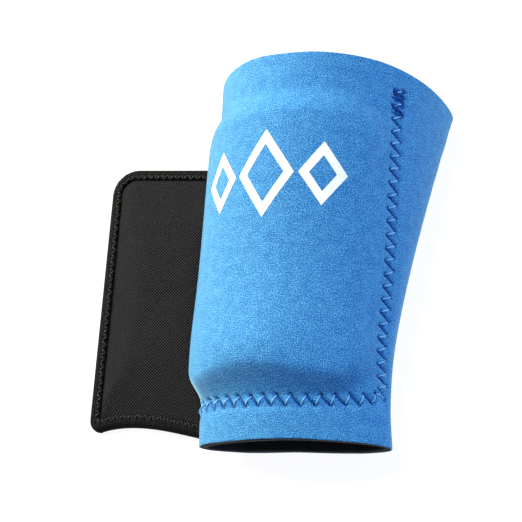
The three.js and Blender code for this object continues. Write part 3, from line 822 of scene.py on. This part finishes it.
def sewn_thread(name, paths, material, radius=THREAD_RADIUS, sides=6):
    """Round thread along several open paths, each a list of points."""
    points, faces, uv = [], [], []
    for path in paths:
        count = len(path)
        along = np.gradient(path, axis=0)
        along /= np.linalg.norm(along, axis=1)[:, None]
        side = np.cross(along, [0.0, 0.0, 1.0])
        side /= np.linalg.norm(side, axis=1)[:, None] + 1e-9
        over = np.cross(side, along)
        angle = np.arange(sides) / sides * 2 * math.pi
        across, upward = (turn[None, :, None] for turn in (np.cos(angle), np.sin(angle)))
        ring = path[:, None] + radius * (across * side[:, None] + upward * over[:, None])
        base = sum(len(p) for p in points)
        quads, (r, c) = sheet_faces(count, sides, closed=True)
        points.append(ring.reshape(-1, 3))
        faces.extend(quads + base)
        length = np.concatenate([[0], np.cumsum(np.linalg.norm(np.diff(path, axis=0), axis=1))])
        uv.append(np.stack([length[r], c * 2 * math.pi * radius / sides], -1).reshape(-1, 2))
        faces.append(list(range(base, base + sides))[::-1])
        faces.append(list(range(base + (count - 1) * sides, base + count * sides)))
        uv.append(np.zeros((2 * sides, 2)))
    return make_piece(name, np.concatenate(points), faces, material, np.concatenate(uv))


def stroke_paths(needles, first, surface, rise, dive=0.75, steps=8):
    """Every second stroke of a zigzag, from the given one on, as threads that dive into
    the cloth at their two ends."""
    start, end = needles[first:-1:2], needles[first + 1::2]
    t = np.linspace(0, 1, steps)
    flat = start[:, None] * (1 - t)[None, :, None] + end[:, None] * t[None, :, None]
    depth = np.tile(dive - (dive + rise) * np.sin(math.pi * t) ** 0.6, len(start))
    return list(surface(flat.reshape(-1, 2), depth).reshape(len(start), steps, 3))


def stitch_path(needles, surface, dive, rise, steps=5):
    """A thread that dives at each needle point and lies on the cloth between them."""
    arc = np.sin(math.pi * np.linspace(0, 1, steps, endpoint=False)) ** 0.6
    depth = np.tile(dive * (1 - arc) - rise * arc, len(needles) - 1)
    return surface(along_thread(needles, steps), depth)


def on_sleeve(flat, depth):
    """Places a thread a little over half way down the dents that its stitches make."""
    y = np.clip(flat[:, 1], 0.6, SLEEVE_LENGTH - 0.6)
    return wall.place_and_facing(y, flat[:, 0], depth + 0.55 * seam_relief(y[:, None], flat[:, :1])[:, 0])[0]


def pocket_stitching():
    """The zigzag pulls every second stroke down between two puffs of cloth. The raised
    strokes are drawn in a lighter copy of the blue thread, a painted highlight, and the
    sunk strokes and bar tacks in a darker copy, a painted shade.
    """
    sewn_thread("raised_stitches", stroke_paths(SEAM_NEEDLES, 0, on_sleeve, rise=0.25),
                HIGHLIT_THREAD)
    sewn_thread("sunk_stitches", stroke_paths(SEAM_NEEDLES, 1, on_sleeve, rise=-0.1),
                SHADED_THREAD)
    tacks = [stitch_path(needles, on_sleeve, dive=0.7, rise=0.15) for needles in TACK_NEEDLES]
    sewn_thread("bar_tacks", tacks, SHADED_THREAD)


# The printed motif: three lozenge outlines side by side over the pad

MOTIF_MIDDLE = (-5.6, 93.0)
# For each lozenge its offset, half width and half height
LOZENGES = [(-21.0, 8.5, 11.5), (0.0, 11.0, 16.0), (21.0, 8.5, 11.5)]
PRINT_LINE = 3.0
PRINT_RISE = 0.07


def lozenge_print():
    """The outlines as thin sheets that follow the cloth just above it."""
    points, faces, uv = [], [], []
    steps, across = 14, 4
    for offset, half_width, half_height in LOZENGES:
        corners = np.array([(0, -half_height), (half_width, 0), (0, half_height), (-half_width, 0)])
        slope = half_width * half_height / math.hypot(half_width, half_height)
        ring = []
        for k in range(across + 1):
            scale = 1 - PRINT_LINE / slope * k / across
            side = []
            for i in range(4):
                t = np.linspace(0, 1, steps, endpoint=False)[:, None]
                side.append(corners[i] * (1 - t) + corners[(i + 1) % 4] * t)
            ring.append(np.concatenate(side) * scale)
        flat = np.stack(ring) + np.array(MOTIF_MIDDLE) + np.array([offset, 0.0])
        base = sum(len(p) for p in points)
        at = wall.place_and_facing(flat[..., 1], flat[..., 0], np.full(flat.shape[:2], -PRINT_RISE))[0]
        quads, (r, c) = sheet_faces(across + 1, 4 * steps, closed=True)
        points.append(at.reshape(-1, 3))
        faces.extend(quads + base)
        uv.append(flat[r, c % (4 * steps)].reshape(-1, 2))
    points, uv = np.concatenate(points), np.concatenate(uv)
    return make_piece("printed_lozenges", points, faces, WHITE_PRINT, uv)


# The shield

def left_flank(y):
    """How far the sleeve reaches towards the shield, up to the tape's height."""
    row = wall.rows[np.clip(round(y / SLEEVE_LENGTH * (wall.STATIONS - 1)), 0, wall.STATIONS - 1)]
    return row[row[:, 1] <= TAPE_HEIGHT, 0].min()


def shield_corners():
    """Its four corners, clear of the sleeve's flank on the right."""
    start, end = SHIELD_START, SHIELD_START + SHIELD_LENGTH
    first, last = left_flank(start), left_flank(end)
    shares = np.linspace(0, 1, 13)
    bulge = max(0, *(first * (1 - t) + last * t - left_flank(start * (1 - t) + end * t) for t in shares))
    first, last = (flank - bulge - SHIELD_CLEARANCE for flank in (first, last))
    near_end = end - SHIELD_END_SLOPE * SHIELD_FOREARM_WIDTH
    return [
        (first - SHIELD_WRIST_WIDTH, start), (first, start),
        (last, near_end), (last - SHIELD_FOREARM_WIDTH, end),
    ]


SHIELD_CORNERS = shield_corners()


def length_round(ring):
    """Distances along a closed outline, back to its start."""
    steps = np.diff(np.concatenate([ring, ring[:1]]), axis=0)
    return np.concatenate([[0], np.cumsum(np.linalg.norm(steps, axis=1))])


def shield_edge(inset):
    """The shield's outline, or one that lies inset within it."""
    return rounded_outline(SHIELD_CORNERS, SHIELD_RADII, inset, SHIELD_END_PULL, side_steps=40)


def plump(piece, held, cap):
    """Lets Blender's cloth blow a closed cover up a little round its padding. The held
    points stay still, and no point moves further than cap. The run is made five times
    life size, where the cloth's own units suit it."""
    grow, frames = 5, 20
    scene = bpy.context.scene
    count = len(piece.data.vertices)
    start = np.empty(count * 3)
    piece.data.vertices.foreach_get("co", start)
    mesh = piece.data.copy()
    mesh.vertices.foreach_set("co", start * grow)
    twin = bpy.data.objects.new("plumping", mesh)
    scene.collection.objects.link(twin)
    twin.vertex_groups.new(name="held").add([int(i) for i in held], 1.0, "REPLACE")
    cloth = twin.modifiers.new("cloth", "CLOTH")
    cloth.settings.quality = 5
    cloth.settings.use_pressure = True
    cloth.settings.uniform_pressure_force = 4
    cloth.settings.vertex_group_mass = "held"
    cloth.settings.effector_weights.gravity = 0
    cloth.point_cache.frame_end = frames
    for moment in range(1, frames + 1):
        scene.frame_set(moment)
    settled = np.empty(count * 3)
    twin.evaluated_get(bpy.context.evaluated_depsgraph_get()).data.vertices.foreach_get("co", settled)
    move = (settled / grow - start).reshape(-1, 3) / MM
    reach = np.linalg.norm(move, axis=1)
    move *= np.minimum(1, cap / np.maximum(reach, 1e-6))[:, None]
    place = start.reshape(-1, 3) / MM + move
    place[:, 2] = np.maximum(place[:, 2], 0.02)
    piece.data.vertices.foreach_set("co", (place * MM).ravel())
    piece.data.update()
    bpy.data.objects.remove(twin)
    bpy.data.meshes.remove(mesh)
    scene.frame_set(1)
    print("plumped by", round(float(reach.mean()), 3), "to", round(float(reach.max()), 3), "mm")


def shield_cushion():
    """The padded body under its rib-knit cover, thin at the flange that the tape holds."""
    edge = shield_edge(TAPE_WALL + 0.3)
    root = shield_edge(TAPE_COVER - 0.2)
    middle = np.mean(SHIELD_CORNERS, axis=0)
    inward = np.concatenate([[0], np.linspace(0.01, 1, 40) ** 1.15 * 0.985])
    rings = np.concatenate([[edge], root + (middle - root)[None] * inward[:, None, None]])
    flange = TAPE_HEIGHT / 2
    reach = np.linalg.norm(root - middle, axis=1)[None] * inward[:, None]
    shoulder = np.tanh(reach / CUSHION_SHOULDER) ** 0.8
    dome = 1 - (1 - inward[:, None]) ** 2
    puff = (1 - CUSHION_DOME) * shoulder + CUSHION_DOME * dome
    puff = np.concatenate([np.zeros((1, len(edge))), puff])
    top = flange + FLANGE_HALF + (SHIELD_THICKNESS - flange - FLANGE_HALF) * puff
    bottom = (flange - FLANGE_HALF) * (1 - smoothstep(puff * 1.6)) + 0.05
    loops = np.concatenate([np.dstack([rings, top])[::-1], np.dstack([rings, bottom])])
    flat = np.concatenate([rings[::-1], rings])
    count = len(edge)
    faces, (r, c) = sheet_faces(len(loops), count, closed=True, flip=True)
    uv = np.concatenate([flat[r, c % count].reshape(-1, 2), flat[0], flat[-1][::-1]])
    piece = make_piece("shield_cushion", loops.reshape(-1, 3), list(faces) + end_caps(loops),
                       RIB_COVER, uv)
    rim = count * (len(rings) - 4)
    plump(piece, range(rim, len(piece.data.vertices) - rim), CLOTH_CAP)
    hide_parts("shield_body")
    return piece


def shield_tape():
    """Knit tape folded over the flange and sewn down through both sides."""
    turn = np.linspace(math.pi / 2, -math.pi / 2, 9)
    half = TAPE_HEIGHT / 2
    upper = [(TAPE_COVER, half * 0.9), (TAPE_COVER * 0.72, half * 0.98), (TAPE_COVER * 0.5, half)]
    outer = upper + [(half - half * math.cos(a), half * math.sin(a)) for a in turn]
    outer += [(inset, -z) for inset, z in upper[::-1]]
    gap = half - TAPE_WALL
    inner = [(TAPE_COVER, -gap), (TAPE_WALL + 0.2, -gap), (TAPE_WALL, 0)]
    inner += [(inset, -z) for inset, z in inner[1::-1]]
    profile = outer + inner
    rings = [(shield_edge(inset), z) for inset, z in profile]
    loops = np.stack([np.column_stack([ring, np.full(len(ring), half + z)]) for ring, z in rings])
    count = loops.shape[1]
    length = length_round(shield_edge(2.0))
    whole = length[-1]
    wave = lambda span: np.cos(2 * math.pi * length[:-1] * round(whole / span) / whole)
    pucker = 0.3 * wave(TAPE_STITCH) + 0.08 * wave(7.1)
    for k, (inset, z) in enumerate(outer):
        loops[k, :, 2] -= np.sign(z) * pucker * min(1, inset / TAPE_COVER * 1.4)
    loops[..., 2] = np.maximum(loops[..., 2], 0)
    loops = np.concatenate([loops, loops[:1]])
    faces, (r, c) = sheet_faces(len(loops), count, closed=True)
    faces = np.where(faces >= len(profile) * count, faces - len(profile) * count, faces)
    uv = np.stack([length[c], length_round(np.array(profile))[r]], -1)
    piece = make_piece("shield_tape", loops[:-1].reshape(-1, 3), faces, EDGE_TAPE, uv)
    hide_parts("shield_binding")
    return piece


def shield_stitching():
    """A narrow zigzag through the tape's inner edge, on the upper side."""
    line = shield_edge(TAPE_COVER - 0.9)
    length = length_round(line)
    line = np.concatenate([line, line[:1]])
    at = np.arange(0, length[-1], 0.25)
    line = np.column_stack([np.interp(at, length, line[:, i]) for i in (0, 1)])
    needles = zigzag(line, at, 0, at[-1], TAPE_STITCH, 2.0)

    def on_tape(flat, depth):
        return np.column_stack([flat, TAPE_HEIGHT - 0.1 - depth])

    path = stitch_path(needles, on_tape, dive=0.5, rise=0.2)
    return sewn_thread("shield_stitching", [path], BLACK_THREAD, radius=0.24)


# Studio

CAMERA_POSITION = np.array([193.49, -109.02, 448.39])
CAMERA_RIGHT = Vector((0.90924, 0.1552, -0.38625))
CAMERA_UP = Vector((0.00765, 0.92151, 0.38828))
CAMERA_LENS = 88.28

# For each soft light its colour, the way to it from the object, distance, size and power
LIGHTS = {
    "key_window": ("#fffae2", (-0.85, 0.38, 0.52), 0.9, 0.6, 17.5),
    "right_fill": ("#a8ceff", (0.93, -0.08, 0.5), 1.0, 0.7, 6.3),
    "top_light": ("#fdfdf6", (-0.2, 0.45, 1.0), 1.4, 0.5, 14.8),
}
FLOOR_REACH = 60.0  # metres, so that low views see no end of it
FLOOR_DROP = 0.0002


def studio():
    """The camera at the photograph's angle, the paper floor and the soft lights."""
    camera_data = bpy.data.cameras.new("camera")
    camera_data.lens = CAMERA_LENS
    camera_data.sensor_width = 36
    camera = bpy.data.objects.new("camera", camera_data)
    bpy.context.scene.collection.objects.link(camera)
    right = CAMERA_RIGHT.normalized()
    back = right.cross(CAMERA_UP).normalized()
    up = back.cross(right)
    turn = Matrix((right, up, back)).transposed().to_4x4()
    camera.matrix_world = Matrix.Translation(Vector((CAMERA_POSITION + PLACE) * MM)) @ turn
    bpy.context.scene.camera = camera

    paper = bpy.data.meshes.new("floor")
    square = ((-1, -1), (1, -1), (1, 1), (-1, 1))
    corners = [(x * FLOOR_REACH, y * FLOOR_REACH, -FLOOR_DROP) for x, y in square]
    paper.from_pydata(corners, [], [(0, 1, 2, 3)])
    paper.materials.append(PAPER)
    floor = bpy.data.objects.new("floor", paper)
    bpy.context.scene.collection.objects.link(floor)

    middle = Vector((0.03, 0.0, 0.03))
    for name, (colour, toward, distance, size, power) in LIGHTS.items():
        light = bpy.data.lights.new(name, "AREA")
        light.color = linear(colour)[:3]
        light.energy = power
        light.size = size
        lamp = bpy.data.objects.new(name, light)
        bpy.context.scene.collection.objects.link(lamp)
        direction = Vector(toward).normalized()
        lamp.location = middle + direction * distance
        lamp.rotation_euler = direction.to_track_quat("Z", "Y").to_euler()

    world = bpy.data.worlds.new("studio")
    world.use_nodes = True
    world.node_tree.nodes["Background"].inputs["Color"].default_value = (1, 1, 1, 1)
    world.node_tree.nodes["Background"].inputs["Strength"].default_value = 0.1
    bpy.context.scene.world = world
    bpy.context.scene.view_settings.view_transform = "Standard"


sleeve_jersey()
sleeve_lining()
pad = pocket_plate("pocket_cushion", 0.0, (CUSHION_DEPTH, True), (CUSHION_DEPTH, False), PAD_FOAM,
                   "pocket_pad")
pocket_plate("pocket_lining", POCKET_MARGIN, (PANEL_DEPTH, False), (PANEL_DEPTH + PANEL_THICKNESS, False),
             BLACK_LINING, "pocket_panel")
pocket_stitching()
lozenge_print()
shield_cushion()
shield_tape()
shield_stitching()
studio()
